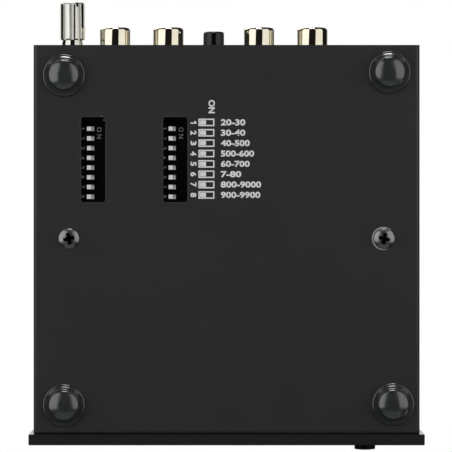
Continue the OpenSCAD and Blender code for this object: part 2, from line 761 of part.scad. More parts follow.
module rca_contact(x) {
    color(gold) {
        along_y([x, contact_end_y, rca_z]) difference() {
            cylinder(r = contact_r, h = rca_bore_l + rca_contact_wall);
            translate([0, 0, rca_contact_wall]) cylinder(d = rca_bore_d, h = rca_bore_l + cut);
        }
        // The tail runs out of the housing's back and down to the board
        translate([x - tail_w / 2, housing_back_y - tail_t, rca_z - tail_t / 2])
            cube([tail_w, contact_end_y - housing_back_y + tail_t, tail_t]);
        translate([x - tail_w / 2, housing_back_y - tail_t, pcb_top_z])
            cube([tail_w, tail_t, rca_z - pcb_top_z + tail_t / 2]);
    }
}

module dc_socket() {
    l = dc_tip_y - housing_face_y;
    r = dc_d / 2;
    color("#141414") difference() {
        union() {
            translate([dc_x - dc_body_w / 2, dc_back_y, pcb_top_z]) cube([dc_body_w, dc_body_l, dc_body_h]);
            along_y([dc_x, housing_face_y - 1, dc_z]) rotate_extrude()
                polygon(concat([[0, 0], [r, 0]],
                               arc(r - dc_edge_r, l + 1 - dc_edge_r, dc_edge_r, 0, 90), [[0, l + 1]]));
        }
        along_y([dc_x, dc_tip_y - dc_bore_l, dc_z]) cylinder(d = dc_bore_d, h = dc_bore_l + cut);
    }
}

// Flat contacts down the back of the power socket
module dc_contacts() {
    color(chrome) for (s = [-1, 0, 1])
        translate([dc_x + s * dc_body_w * 0.3 - tail_w / 2, dc_back_y - tail_t, pcb_top_z])
            cube([tail_w, tail_t, dc_axis_h + (s == 0 ? 1.5 : -1)]);
}

module ground_bushing() {
    bore_r = ground_screw_d / 2 + ground_screw_gap;
    color(chrome) along_y([ground_x, case_y1 - sleeve_l, ground_z]) difference() {
        union() {
            cylinder(d = sleeve_d, h = sleeve_l + collar_l);
            translate([0, 0, sleeve_l]) cylinder(d = collar_d, h = collar_l);
        }
        translate([0, 0, -cut]) cylinder(r = bore_r, h = sleeve_l + collar_l + 2 * cut);
    }
}

module ground_lug() {
    color(chrome) difference() {
        union() {
            along_y([ground_x, rear_wall_y - lug_t, ground_z])
                cylinder(d = ground_nut_flats + 0.6, h = lug_t);
            translate([ground_x - 1.1, rear_wall_y - lug_t, ground_z])
                cube([2.2, lug_t, lug_tail_top_z - ground_z]);
        }
        along_y([ground_x, rear_wall_y - lug_t - cut, ground_z])
            cylinder(d = sleeve_d + 2 * fit_gap, h = lug_t + 2 * cut);
    }
}

module ground_nut() {
    color(chrome) along_y([ground_x, rear_wall_y - lug_t - ground_nut_t, ground_z]) difference() {
        cylinder(d = ground_nut_flats / cos(30), h = ground_nut_t, $fn = 6);
        translate([0, 0, -cut]) cylinder(d = sleeve_d + 2 * fit_gap, h = ground_nut_t + 2 * cut);
    }
}

// The wire rises from the lug, turns over and drops to the board
module ground_wire() {
    z0 = ground_z + ground_nut_flats / 2 + wire_nut_gap;
    z1 = lug_tail_top_z;
    color("darkgreen") union() {
        translate([ground_x, wire_y, z0]) cylinder(d = wire_d, h = z1 - z0, $fn = 24);
        translate([ground_x, wire_y - wire_loop_r, z1]) rotate([90, 0, -90])
            rotate_extrude(angle = 180, $fn = 48) translate([wire_loop_r, 0]) circle(d = wire_d, $fn = 24);
        translate([ground_x, wire_y - 2 * wire_loop_r, pcb_top_z])
            cylinder(d = wire_d, h = z1 - pcb_top_z, $fn = 24);
    }
}

module ground_washer() {
    color(chrome) along_y([ground_x, case_y1 + collar_l, ground_z]) difference() {
        cylinder(d = washer_d, h = washer_t);
        translate([0, 0, -cut]) cylinder(r = ground_screw_d / 2 + ground_screw_gap, h = washer_t + 2 * cut);
    }
}

module ground_knob() {
    r = knob_d / 2;
    edge = 0.7;
    color(chrome) along_y([ground_x, case_y1 + collar_l + washer_t, ground_z]) {
        translate([0, 0, -ground_shank_l]) cylinder(d = ground_screw_d, h = ground_shank_l + 1);
        difference() {
            rotate_extrude() polygon(concat(
                [[0, 0], [r - 0.4, 0], [r, 0.4]], arc(r - edge, knob_l - edge, edge, 0, 90), [[0, knob_l]]));
            for (i = [0:knob_flutes - 1]) rotate([0, 0, (i + 0.5) * 360 / knob_flutes])
                translate([r + flute_r * 0.35, 0, -cut])
                    cylinder(r = flute_r, h = knob_l + 2 * cut, $fn = 24);
            rotate([0, 0, knob_slot_turn])
                translate([-knob_d, -knob_slot_w / 2, knob_l - knob_slot_depth])
                    cube([2 * knob_d, knob_slot_w, knob_slot_depth + cut]);
        }
    }
}

// Y of a slider, counted from the rear
function slider_y(i) = dip_y + ((dip_count - 1) / 2 - i) * dip_pitch;

// Switch block with a slot and a chamber for each slider
module dip_block(x) {
    color("#101012") difference() {
        translate([x - dip_w / 2, dip_y - dip_l / 2, dip_face_z]) cube([dip_w, dip_l, dip_h]);
        for (i = [0:dip_count - 1]) {
            translate([x - slot_l / 2, slider_y(i) - slot_w / 2, dip_face_z - cut])
                cube([slot_l, slot_w, dip_lid_t + 2 * cut]);
            translate([x - slide_l / 2 - nub_travel / 2 - slider_gap, slider_y(i) - slide_w / 2 - slider_gap,
                       dip_face_z + dip_lid_t])
                cube([slide_l + nub_travel + 2 * slider_gap, slide_w + 2 * slider_gap,
                      slide_h + 2 * slider_gap]);
        }
    }
}

// A slider at rest in its OFF place: the knob passes the slot, and its foot stays in the chamber
module dip_slider(x, i) {
    color("#e8e8e4") translate([x + slider_rest_x, slider_y(i), dip_face_z]) {
        translate([-nub_l / 2, -nub_w / 2, -nub_out])
            cube([nub_l, nub_w, nub_out + dip_lid_t + slider_gap * 2]);
        translate([-slide_l / 2, -slide_w / 2, dip_lid_t + slider_gap]) cube([slide_l, slide_w, slide_h]);
    }
}

// Bent leads from both sides of the blocks to the board
module dip_leads() {
    top = pcb_z - dip_face_z;
    root = top - 2;
    color(chrome) for (x = [dip_outer_x, dip_inner_x], s = [0, 1], i = [0:dip_count - 1])
        translate([x, slider_y(i) + lead_w / 2, dip_face_z]) mirror([s, 0, 0]) rotate([90, 0, 0])
            linear_extrude(lead_w) translate([dip_w / 2, 0])
                polygon([[0, root], [lead_out, root], [lead_out, top - lead_t],
                         [lead_out + lead_toe, top - lead_t], [lead_out + lead_toe, top],
                         [lead_out - lead_t, top], [lead_out - lead_t, root + lead_t], [0, root + lead_t]]);
}

module power_button() {
    l = button_back_y - button_tip_y;
    r = button_d / 2;
    hole = plunger_w + 2 * fit_gap;
    color("#121212") along_y([button_x, button_tip_y, button_z]) difference() {
        rotate_extrude() polygon(concat(
            [[0, 0], [r * 0.5, 0.06], [r - button_edge_r, 0.2]],
            arc(r - button_edge_r, 0.2 + button_edge_r, button_edge_r, -90, 0), [[r, l], [0, l]]));
        translate([-hole / 2, -hole / 2, l - socket_depth]) cube([hole, hole, socket_depth + cut]);
    }
}

module power_switch() {
    hole = plunger_w + 2 * plunger_gap;
    color("#1f1f22") difference() {
        translate([button_x - switch_w / 2, switch_front_y, pcb_top_z]) cube([switch_w, switch_l, switch_w]);
        translate([button_x - hole / 2, switch_front_y - cut, button_z - hole / 2])
            cube([hole, channel_end_y - switch_front_y + cut, hole]);
        // Latch groove in the top
        translate([button_x - 1, switch_front_y + 2, pcb_top_z + switch_w - 0.8])
            cube([2, switch_l - 4, 0.8 + cut]);
    }
}

module switch_plunger() {
    color("#dcdcd4") translate([button_x - plunger_w / 2, plunger_y0, button_z - plunger_w / 2])
        cube([plunger_w, plunger_y1 - plunger_y0, plunger_w]);
}

// Coil spring between the plunger and the end of its channel
spring_turns = 5;
spring_steps = 14;
spring_sides = 6;
spring_r = plunger_w / 2 - 0.25 - spring_wire_d / 2;

module switch_spring() {
    rings = spring_turns * spring_steps;
    run = spring_l - spring_wire_d - 0.1;
    points = [for (i = [0:rings], k = [0:spring_sides - 1])
        let (turn = 360 * i / spring_steps, side = 360 * k / spring_sides,
             r = spring_r + spring_wire_d / 2 * cos(side))
        [r * cos(turn), run * i / rings + spring_wire_d / 2 * sin(side), r * sin(turn)]];
    walls = [for (i = [0:rings - 1], k = [0:spring_sides - 1])
        let (a = i * spring_sides + k, b = i * spring_sides + (k + 1) % spring_sides)
        each [[a, a + spring_sides, b], [b, a + spring_sides, b + spring_sides]]];
    first = [for (k = [1:spring_sides - 2]) [0, k, k + 1]];
    end = rings * spring_sides;
    last = [for (k = [1:spring_sides - 2]) [end, end + k + 1, end + k]];
    color(chrome) translate([button_x, plunger_y1 + spring_wire_d / 2 + 0.05, button_z])
        polyhedron(points, concat(walls, first, last));
}

module power_led() {
    lead = 0.5;
    gap = 1.27;
    lead_y = led_base_y + 1.5;
    color("#cfe0f2") {
        along_y([led_x, panel_front_y + 0.1, button_z]) rotate_extrude() polygon(concat(
            [[0, 0]], arc(0, led_d / 2, led_d / 2, -75, 0), [[led_d / 2, led_base_y - panel_front_y - 0.1],
            [0, led_base_y - panel_front_y - 0.1]]));
        along_y([led_x, led_base_y - 1, button_z]) cylinder(d = led_d + 0.8, h = 1);
        for (s = [-1, 1]) {
            translate([led_x + s * gap - lead / 2, led_base_y - 0.2, button_z - lead / 2])
                cube([lead, lead_y - led_base_y + 0.2, lead]);
            translate([led_x + s * gap - lead / 2, lead_y - lead, pcb_top_z])
                cube([lead, lead, button_z - pcb_top_z + lead / 2]);
        }
    }
}

// A dual in-line chip standing on the board, with its legs
module chip(x, y) {
    leg_w = 0.5;
    leg_t = 0.6;
    translate([x, y, pcb_top_z]) {
        translate([-chip_w / 2, -chip_l / 2, chip_stand]) cube([chip_w, chip_l, chip_h]);
        for (s = [0, 1], i = [-1.5:1:1.5]) mirror([s, 0, 0])
            translate([chip_w / 2, i * chip_leg_pitch - leg_w / 2, 0])
                cube([leg_t, leg_w, chip_stand + chip_h / 2]);
    }
}

// A voltage regulator standing on its three legs
module regulator(x, y) {
    leg_w = 0.7;
    leg_t = 0.5;
    translate([x, y, pcb_top_z]) {
        translate([-regulator_w / 2, -regulator_l / 2, regulator_leg])
            cube([regulator_w, regulator_l, regulator_h]);
        for (i = [-1:1]) translate([i * chip_leg_pitch - leg_w / 2, -leg_t / 2, 0])
            cube([leg_w, leg_t, regulator_leg + 0.1]);
    }
}

module integrated_circuits() {
    y = pcb_y1 - chip_rear;
    color("#18181a") {
        for (sx = [-1, 1], sy = [-1, 1]) chip(sx * chip_side, y + sy * chip_step);
        chip(0, y);
        regulator(0, pcb_y1 - regulator_rear);
    }
}

// A can capacitor with a rolled-in groove near its foot
module can(x, y, d, h) {
    r = d / 2;
    translate([x, y, pcb_top_z]) rotate_extrude()
        polygon([[0, 0], [r, 0], [r, 1.2], [r - 0.3, 1.6], [r, 2], [r, h - 0.4], [r - 0.4, h], [0, h]]);
}

module electrolytic_capacitors() {
    large_can_x = button_x + switch_w / 2 + large_can_gap + large_can_d / 2;
    color("#2a3350") for (s = [-1, 1]) {
        for (i = [0:2])
            can(s * small_can_side, pcb_y0 + small_can_front + i * small_can_pitch, small_can_d, small_can_h);
        for (i = [0:1])
            can(s * large_can_x, pcb_y0 + large_can_front + i * large_can_pitch, large_can_d, large_can_h);
    }
}

module film_capacitors() {
    color("#9c2f2a") for (s = [-1, 1], i = [0:3])
        translate([s * (pcb_x - film_side), pcb_y1 - film_rear - i * film_pitch, pcb_top_z + film_h / 2])
            cube([film_t, film_l, film_h], center = true);
}

// Surface-mounted resistors in rows beside the chips
module resistors() {
    color("#26262a") for (s = [-1, 1], i = [0:7])
        translate([s * resistor_side, pcb_y1 - resistor_rear - i * resistor_pitch,
                   pcb_top_z + resistor_h / 2])
            cube([resistor_w, resistor_l, resistor_h], center = true);
}

chassis_tray();
rear_panel();
top_cover();
front_panel();
panel_screws();
cover_screws();
feet();
pcb_standoffs();
pcb_screws();
main_pcb();
rca_housing(rca_in_x);  // rca_housing_input
rca_housing(rca_out_x);  // rca_housing_output
for (i = [0:3]) {
    tint = i % 2 == 0 ? "#e6e4de" : "#b0201c";
    rca_shell(rca_xs[i]);
    rca_insulator(rca_xs[i], tint);
    rca_contact(rca_xs[i]);
}
dc_socket();
dc_contacts();
ground_bushing();
ground_nut();
ground_lug();
ground_wire();
ground_washer();
ground_knob();
dip_block(dip_outer_x);  // dip_block_outer
dip_block(dip_inner_x);  // dip_block_inner
dip_leads();
for (i = [0:dip_count - 1]) {
    dip_slider(dip_outer_x, i);
    dip_slider(dip_inner_x, i);
}
power_button();
power_switch();
switch_plunger();
switch_spring();
power_led();
integrated_circuits();
electrolytic_capacitors();
film_capacitors();
resistors();
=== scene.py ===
"""Looks of the phono preamplifier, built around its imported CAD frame.

In order: values, geometry helpers, materials, studio and camera, the CAD nodes, the pieces added here.
Lengths are in metres, positions in the row frame. The unit stands on its feet, so its plate looks down.
"""

import json
import math

import bpy
import numpy as np
from mathutils import Matrix, Vector


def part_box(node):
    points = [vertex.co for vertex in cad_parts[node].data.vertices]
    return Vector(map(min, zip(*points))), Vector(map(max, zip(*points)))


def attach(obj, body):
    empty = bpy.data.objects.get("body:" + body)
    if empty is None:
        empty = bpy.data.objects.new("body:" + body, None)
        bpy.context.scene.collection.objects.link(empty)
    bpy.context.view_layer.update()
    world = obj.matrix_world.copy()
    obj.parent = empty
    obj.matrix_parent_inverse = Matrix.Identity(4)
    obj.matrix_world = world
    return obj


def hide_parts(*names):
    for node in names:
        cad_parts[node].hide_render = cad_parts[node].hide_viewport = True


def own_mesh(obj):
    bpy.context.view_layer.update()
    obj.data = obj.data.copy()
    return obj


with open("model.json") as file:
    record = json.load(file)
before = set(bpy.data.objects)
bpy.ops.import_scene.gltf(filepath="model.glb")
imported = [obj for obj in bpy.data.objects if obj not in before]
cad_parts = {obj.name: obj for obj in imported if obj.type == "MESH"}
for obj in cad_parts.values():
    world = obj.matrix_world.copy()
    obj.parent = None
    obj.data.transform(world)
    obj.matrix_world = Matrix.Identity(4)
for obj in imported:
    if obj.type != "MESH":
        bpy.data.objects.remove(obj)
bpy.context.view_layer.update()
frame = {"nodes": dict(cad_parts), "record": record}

MM = 0.001

# The bottom plate and the two switch blocks behind it
PLATE_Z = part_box("chassis_tray")[0].z
DIP_OUTER_LOW, DIP_OUTER_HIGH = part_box("dip_block_outer")
DIP_INNER_LOW, DIP_INNER_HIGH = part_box("dip_block_inner")
DIP_DEPTH = DIP_OUTER_LOW.z - PLATE_Z

# The knob, its screwdriver slot, turned by an angle in degrees, and the screw in it
KNOB_LOW, KNOB_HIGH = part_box("ground_knob")
KNOB_SLOT_WIDTH = 0.9 * MM
KNOB_SLOT_DEPTH = 1.2 * MM
KNOB_SLOT_TURN = 117
KNOB_SCREW_EDGE = (1.30 * MM, 1.20 * MM)
THREAD_PITCH = 0.45 * MM
THREAD_DEPTH = 0.08 * MM

# The cover's screws and their cross recesses, the angle being that of the left one seen from below
SCREW_LOW, SCREW_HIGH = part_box("cover_screws")
SCREW_HEAD = SCREW_HIGH.y - SCREW_LOW.y
SCREW_X = SCREW_HIGH.x - SCREW_HEAD / 2
SCREW_Y = (SCREW_LOW.y + SCREW_HIGH.y) / 2
SCREW_TURN = -13
SCREW_SLOT_WIDTH = 0.16 * SCREW_HEAD
SCREW_SLOT_LENGTH = 0.56 * SCREW_HEAD

# Painted shade fills a recess a little past its edges, so that its walls count as inside
KNOB_SLOT_ROOM = 0.01 * MM
SCREW_SLOT_ROOM = 0.02 * MM

# The parts of the screws and feet whose shading is eased, as heights below the plate, and by how much:
# a slope is multiplied by the first number plus the second times the slope
SCREW_RIM = 0.5 * MM
SCREW_EASE = (0.5, 0.24)
FOOT_HOLLOW = (2.05 * MM, 1.28 * MM)
FOOT_EASE = (0.12, 0.0)

# Edges below this angle, in degrees, are shaded smooth. The knob's is high, which rounds its flutes.
SMOOTH_ANGLE = 35.0
KNOB_SMOOTH_ANGLE = 80.0
SPRING_SMOOTH_ANGLE = 50.0

# The button's return spring
SPRING_LOW, SPRING_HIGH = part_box("switch_spring")
SPRING_WIRE = 0.35 * MM
SPRING_TURNS = 5

# The photograph, taken straight up at the bottom plate: image right is -X, image up is +Y
CAMERA_DISTANCE = 1.1
PIXEL_AT_PLATE = 0.2601 * MM
PHOTO_WIDTH = 452
PHOTO_CENTRE = (226.6, 226.0)
SENSOR_WIDTH = 36.0


# ---------------------------------------------------------------- geometry helpers

def link(obj):
    bpy.context.scene.collection.objects.link(obj)
    return obj


def mesh_object(name, vertices, faces, material):
    """A mesh from lists of points and faces, in the row frame."""
    mesh = bpy.data.meshes.new(name)
    mesh.from_pydata([tuple(v) for v in vertices], [], faces)
    mesh.validate()
    mesh.update()
    mesh.materials.append(material)
    return link(bpy.data.objects.new(name, mesh))


def dress(obj, body):
    """Lets a new piece move with a body."""
    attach(obj, body)
    return obj


def tube_faces(rings, sides):
    """Faces between rings of points that follow each other, each ring closed."""
    faces = []
    for ring in range(rings):
        for side in range(sides):
            a, b = ring * sides + side, ring * sides + (side + 1) % sides
            faces.append((a, a + sides, b + sides, b))
    return faces


def field_values(items, field, kind, width=1):
    """One field of a mesh's vertices, corners or faces as an array."""
    values = np.zeros(len(items) * width, kind)
    items.foreach_get(field, values)
    return values.reshape(-1, width) if width > 1 else values


def smooth(mesh):
    mesh.polygons.foreach_set("use_smooth", [True] * len(mesh.polygons))


def soften(obj, degrees=SMOOTH_ANGLE):
    """Smooth shading over edges below the angle, weighted by area so that flat faces stay flat.

    Corners that lie within a micrometre of each other share a place, also where the mesh is split.
    """
    mesh = obj.data
    corner_vertex = field_values(mesh.loops, "vertex_index", np.int32)
    microns = (field_values(mesh.vertices, "co", np.float32, 3) * 1e6).round().astype(np.int64)
    places = np.unique(microns, axis=0, return_inverse=True)[1]
    face_normal = field_values(mesh.polygons, "normal", np.float32, 3)
    area = field_values(mesh.polygons, "area", np.float32)
    sides = field_values(mesh.polygons, "loop_total", np.int32)
    corner_face = np.repeat(np.arange(len(sides)), sides)
    corner_place = places.ravel()[corner_vertex]
    order = np.argsort(corner_place, kind="stable")
    cuts = np.flatnonzero(np.diff(corner_place[order])) + 1
    limit = math.cos(math.radians(degrees))
    result = np.zeros((len(mesh.loops), 3), np.float32)
    for group in np.split(order, cuts):
        normals = face_normal[corner_face[group]]
        near = (normals @ normals.T) > limit
        total = near @ (normals * area[corner_face[group], None])
        result[group] = total / np.maximum(np.linalg.norm(total, axis=1, keepdims=True), 1e-12)
    smooth(mesh)
    mesh.normals_split_custom_set(result.tolist())


def ease_slopes(obj, chosen, base, gain):
    """Shades chosen parts of a node as flatter than they are.

    Each slope, in radians, is multiplied by base plus gain times itself.
    """
    mesh = obj.data
    points = [obj.matrix_world @ v.co for v in mesh.vertices]
    normals = [Vector(n.vector) for n in mesh.corner_normals]
    for loop in mesh.loops:
        normal = normals[loop.index]
        level = Vector((normal.x, normal.y))
        if level.length < 0.01 or not chosen(points[loop.vertex_index], normal):
            continue
        slope = math.acos(min(-normal.z, 1.0))
        slope *= base + gain * slope
        level = level.normalized() * math.sin(slope)
        normals[loop.index] = Vector((level.x, level.y, -math.cos(slope)))
    mesh.normals_split_custom_set([tuple(n) for n in normals])


# ---------------------------------------------------------------- material helpers

class Shader:
    """A principled material and short calls for the nodes round it. Lengths are in metres."""

    def __init__(self, name, colour, roughness, metallic=0.0, ior=1.5):
        self.material = bpy.data.materials.new(name)
        self.material.use_nodes = True
        self.tree = self.material.node_tree
        self.tree.nodes.clear()
        output = self.node("ShaderNodeOutputMaterial")
        self.bsdf = self.node("ShaderNodeBsdfPrincipled")
        self.link(self.bsdf.outputs["BSDF"], output.inputs["Surface"])
        self.set("Base Color", (*colour, 1.0))
        self.set("Roughness", roughness)
        self.set("Metallic", metallic)
        self.set("IOR", ior)
        self.colour = colour
        self.roughness = roughness
        self.place = self.node("ShaderNodeTexCoord").outputs["Object"]

    def node(self, kind, **settings):
        node = self.tree.nodes.new(kind)
        for key, value in settings.items():
            setattr(node, key, value)
        return node

    def link(self, source, target):
        self.tree.links.new(source, target)

    def set(self, socket, value):
        self.bsdf.inputs[socket].default_value = value

    def feed(self, socket, value):
        """Puts a number or another node's output on a node's socket."""
        if isinstance(value, (int, float, tuple)):
            socket.default_value = value
        else:
            self.link(value, socket)

    def stretched(self, scale):
        """The object's coordinates, stretched along the axes."""
        mapping = self.node("ShaderNodeMapping")
        self.link(self.place, mapping.inputs["Vector"])
        mapping.inputs["Scale"].default_value = scale
        return mapping.outputs["Vector"]

    def noise(self, size, detail=2.0, vector=None):
        """Noise whose features are about the given size."""
        noise = self.node("ShaderNodeTexNoise")
        self.link(vector or self.place, noise.inputs["Vector"])
        noise.inputs["Scale"].default_value = 1.0 / size
        noise.inputs["Detail"].default_value = detail
        return noise.outputs["Fac"]

    def ramp(self, value, low, high, out_low=0.0, out_high=1.0):
        """Maps a value's range onto another, held within it."""
        node = self.node("ShaderNodeMapRange")
        self.feed(node.inputs["Value"], value)
        numbers = {"From Min": low, "From Max": high, "To Min": out_low, "To Max": out_high}
        for key, number in numbers.items():
            node.inputs[key].default_value = number
        return node.outputs["Result"]

    def patches(self, size, detail, low=0.3, high=0.7, out_low=0.0, out_high=1.0):
        """Noise spread over a range, for uneven places of about the given size."""
        return self.ramp(self.noise(size, detail), low, high, out_low, out_high)

    def math(self, operation, *values):
        node = self.node("ShaderNodeMath", operation=operation)
        for socket, value in zip(node.inputs, values):
            self.feed(socket, value)
        return node.outputs["Value"]

    def mix(self, factor, first, second):
        node = self.node("ShaderNodeMix", data_type="RGBA")
        self.feed(node.inputs["Factor"], factor)
        self.feed(node.inputs["A"], (*first, 1.0) if isinstance(first, tuple) else first)
        self.feed(node.inputs["B"], (*second, 1.0) if isinstance(second, tuple) else second)
        return node.outputs["Result"]

    def split(self):
        """The object's coordinates as three numbers."""
        node = self.node("ShaderNodeSeparateXYZ")
        self.link(self.place, node.inputs["Vector"])
        return node.outputs["X"], node.outputs["Y"], node.outputs["Z"]

    def paint(self, colour):
        """Puts another node's output on the base colour."""
        self.link(colour, self.bsdf.inputs["Base Color"])

    def bump(self, height, depth, strength=1.0):
        """Adds a bump on top of those already made."""
        node = self.node("ShaderNodeBump")
        node.inputs["Distance"].default_value = depth
        node.inputs["Strength"].default_value = strength
        self.link(height, node.inputs["Height"])
        socket = self.bsdf.inputs["Normal"]
        if socket.is_linked:
            self.link(socket.links[0].from_socket, node.inputs["Normal"])
        self.link(node.outputs["Normal"], socket)

    def vary_colour(self, size, share, detail=3.0):
        """Makes the base colour a little lighter and darker in patches."""
        darker = tuple(c * (1 - share) for c in self.colour)
        lighter = tuple(min(c * (1 + share), 1.0) for c in self.colour)
        self.paint(self.mix(self.patches(size, detail), darker, lighter))

    def vary_roughness(self, size, amount, detail=3.0):
        """Makes the surface a little glossier and duller in patches."""
        low, high = self.roughness - amount, self.roughness + amount
        uneven = self.patches(size, detail, out_low=low, out_high=high)
        self.link(uneven, self.bsdf.inputs["Roughness"])


def powder_coat(name, colour, roughness, specular):
    """Fine matt powder coat: small grains over a slow orange peel."""
    s = Shader(name, colour, roughness)
    s.set("Specular IOR Level", specular)
    s.vary_colour(size=9 * MM, share=0.05)
    s.vary_roughness(size=3 * MM, amount=0.03)
    s.bump(s.noise(0.9 * MM), depth=0.012 * MM, strength=0.5)
    s.bump(s.noise(0.22 * MM, detail=1.0), depth=0.010 * MM, strength=0.6)
    return s.material


def anodised(name, colour, roughness):
    """Black anodised aluminium with faint brush lines across the panel."""
    s = Shader(name, colour, roughness)
    s.set("Specular IOR Level", 0.45)
    s.vary_colour(size=12 * MM, share=0.05)
    lines = s.noise(0.12 * MM, vector=s.stretched((0.02, 1.0, 1.0)))
    s.bump(lines, depth=0.004 * MM, strength=0.5)
    return s.material


def moulded(name, colour, roughness, ior=1.5):
    """Moulded plastic: a slight mould texture and a little unevenness in the gloss."""
    s = Shader(name, colour, roughness, ior=ior)
    s.vary_colour(size=4 * MM, share=0.04)
    s.vary_roughness(size=1.2 * MM, amount=0.03)
    s.bump(s.noise(0.25 * MM), depth=0.006 * MM, strength=0.6)
    return s.material


def rubber(name):
    """Glossy black rubber with a few fine moulding marks and specks of dust."""
    clean, dusty = (0.016, 0.018, 0.019), (0.036, 0.038, 0.040)
    s = Shader(name, clean, 0.2, ior=2.0)
    s.vary_roughness(size=1.5 * MM, amount=0.04)
    s.bump(s.noise(1.6 * MM), depth=0.02 * MM, strength=0.5)
    s.bump(s.noise(0.25 * MM), depth=0.004 * MM, strength=0.5)
    specks = s.patches(0.3 * MM, 1.0, low=0.70, high=0.80)
    s.paint(s.mix(specks, clean, dusty))
    return s.material


def polished_metal(name, colour, roughness, turned=0.0):
    """Plated and polished metal. turned is the depth of its turning lines, round the Y axis."""
    s = Shader(name, colour, roughness, metallic=1.0)
    s.vary_colour(size=2.5 * MM, share=0.03)
    s.vary_roughness(size=0.8 * MM, amount=roughness * 0.25)
    s.bump(s.noise(1.8 * MM, detail=1.0), depth=0.006 * MM, strength=0.4)
    if turned:
        lines = s.noise(0.05 * MM, detail=1.0, vector=s.stretched((0.0, 1.0, 0.0)))
        s.bump(lines, depth=turned, strength=0.6)
    return s.material


def dark_metal(name, colour, roughness):
    """Black zinc on the cover's screws: the soft shine of metal, and painted shade in the cross recess,
    black.
    """
    # recess is painted shade: the black that falls deep in the cross recess
    recess = (0.015, 0.015, 0.015)
    s = Shader(name, colour, roughness, metallic=1.0)
    to_side, to_rear, _ = s.split()
    x = s.math("SUBTRACT", s.math("ABSOLUTE", to_side), SCREW_X)
    y = s.math("SUBTRACT", to_rear, SCREW_Y)
    turn = math.radians(SCREW_TURN)
    cos, sin = math.cos(turn), math.sin(turn)
    along = s.math("ADD", s.math("MULTIPLY", x, cos), s.math("MULTIPLY", y, sin))
    across = s.math("SUBTRACT", s.math("MULTIPLY", y, cos), s.math("MULTIPLY", x, sin))
    near, far = s.math("ABSOLUTE", along), s.math("ABSOLUTE", across)
    half_width = SCREW_SLOT_WIDTH / 2 + SCREW_SLOT_ROOM
    half_length = SCREW_SLOT_LENGTH / 2 + SCREW_SLOT_ROOM
    in_width = s.math("LESS_THAN", s.math("MINIMUM", near, far), half_width)
    in_length = s.math("LESS_THAN", s.math("MAXIMUM", near, far), half_length)
    cross_shade = s.math("MULTIPLY", in_width, in_length)
    uneven = s.mix(s.patches(0.9 * MM, 3.0, out_low=0.88, out_high=1.12), (0, 0, 0), colour)
    # Painted shade: the cross is coloured black, a little past its edges
    s.paint(s.mix(cross_shade, uneven, recess))
    s.vary_roughness(size=0.6 * MM, amount=0.05)
    s.bump(s.noise(0.35 * MM), depth=0.008 * MM, strength=0.6)
    return s.material


def knob_metal(name):
    """Bright plating on the knob, painted shade inside its slot, with a thread on the screw round its axis.
    """
    # recess is painted shade, the dark that falls inside the screwdriver slot
    plating, recess = (0.72, 0.71, 0.66), (0.03, 0.03, 0.03)
    s = Shader(name, plating, 0.07, metallic=1.0)
    s.vary_roughness(size=0.8 * MM, amount=0.02)
    s.bump(s.noise(0.9 * MM, detail=1.0), depth=0.012 * MM, strength=0.5)
    to_side, to_rear, up = s.split()
    x = s.math("SUBTRACT", to_side, (KNOB_LOW.x + KNOB_HIGH.x) / 2)
    z = s.math("SUBTRACT", up, (KNOB_LOW.z + KNOB_HIGH.z) / 2)
    turn = math.radians(KNOB_SLOT_TURN)
    cos, sin = math.cos(turn), math.sin(turn)
    across = s.math("SUBTRACT", s.math("MULTIPLY", x, sin), s.math("MULTIPLY", z, -cos))
    half_width = KNOB_SLOT_WIDTH / 2 + KNOB_SLOT_ROOM
    floor = KNOB_HIGH.y - KNOB_SLOT_DEPTH - KNOB_SLOT_ROOM
    beside = s.math("LESS_THAN", s.math("ABSOLUTE", across), half_width)
    deep = s.math("GREATER_THAN", to_rear, floor)
    slot_shade = s.math("MULTIPLY", beside, deep)
    # Painted shade: the slot is coloured dark
    s.paint(s.mix(slot_shade, plating, recess))
    radius = s.math("SQRT", s.math("ADD", s.math("MULTIPLY", x, x), s.math("MULTIPLY", z, z)))
    on_screw = s.ramp(radius, *KNOB_SCREW_EDGE)
    climb = s.math("MULTIPLY", to_rear, 2 * math.pi / THREAD_PITCH)
    turns = s.math("ADD", climb, s.math("ARCTAN2", x, z))
    s.bump(s.math("MULTIPLY", s.math("SINE", turns), on_screw), depth=THREAD_DEPTH)
    return s.material


def circuit_board(name):
    """Black solder mask over faint copper tracks."""
    mask, track = (0.006, 0.008, 0.009), (0.012, 0.016, 0.017)
    s = Shader(name, mask, 0.35)
    cells = s.node("ShaderNodeTexVoronoi", feature="DISTANCE_TO_EDGE", distance="CHEBYCHEV")
    s.link(s.place, cells.inputs["Vector"])
    cells.inputs["Scale"].default_value = 1.0 / (4 * MM)
    between = s.ramp(cells.outputs["Distance"], 0.05, 0.07)
    s.paint(s.mix(between, track, mask))
    s.bump(between, depth=0.03 * MM, strength=0.5)
    return s.material


def clear_epoxy(name):
    """Water clear resin of the power light."""
    s = Shader(name, (0.75, 0.82, 0.92), 0.08)
    s.set("Transmission Weight", 0.6)
    s.vary_roughness(size=0.8 * MM, amount=0.02)
    return s.material


def slider_plastic(name):
    """White plastic, with painted shade: greyer where a slider's foot lies deep under the slot of its
    block.
    """
    # The second, greyer white is painted shade for the deep parts of the slider
    bright, deep_shade_grey = (0.95, 0.95, 0.93), (0.55, 0.55, 0.53)
    s = Shader(name, bright, 0.45)
    up = s.split()[2]
    face = DIP_OUTER_LOW.z
    deep = s.ramp(up, face + 0.2 * MM, face + 0.8 * MM)
    # Painted shade: greyer with depth below the block's face
    s.paint(s.mix(deep, bright, deep_shade_grey))
    s.bump(s.noise(0.15 * MM), depth=0.004 * MM, strength=0.5)
    return s.material


def bare_steel(name):
    """Steel where the paint is rubbed off, with fine scratches."""
    s = Shader(name, (0.22, 0.22, 0.23), 0.5)
    s.vary_colour(size=0.3 * MM, share=0.25)
    s.vary_roughness(size=0.2 * MM, amount=0.08)
    s.bump(s.noise(0.08 * MM), depth=0.006 * MM, strength=0.8)
    return s.material


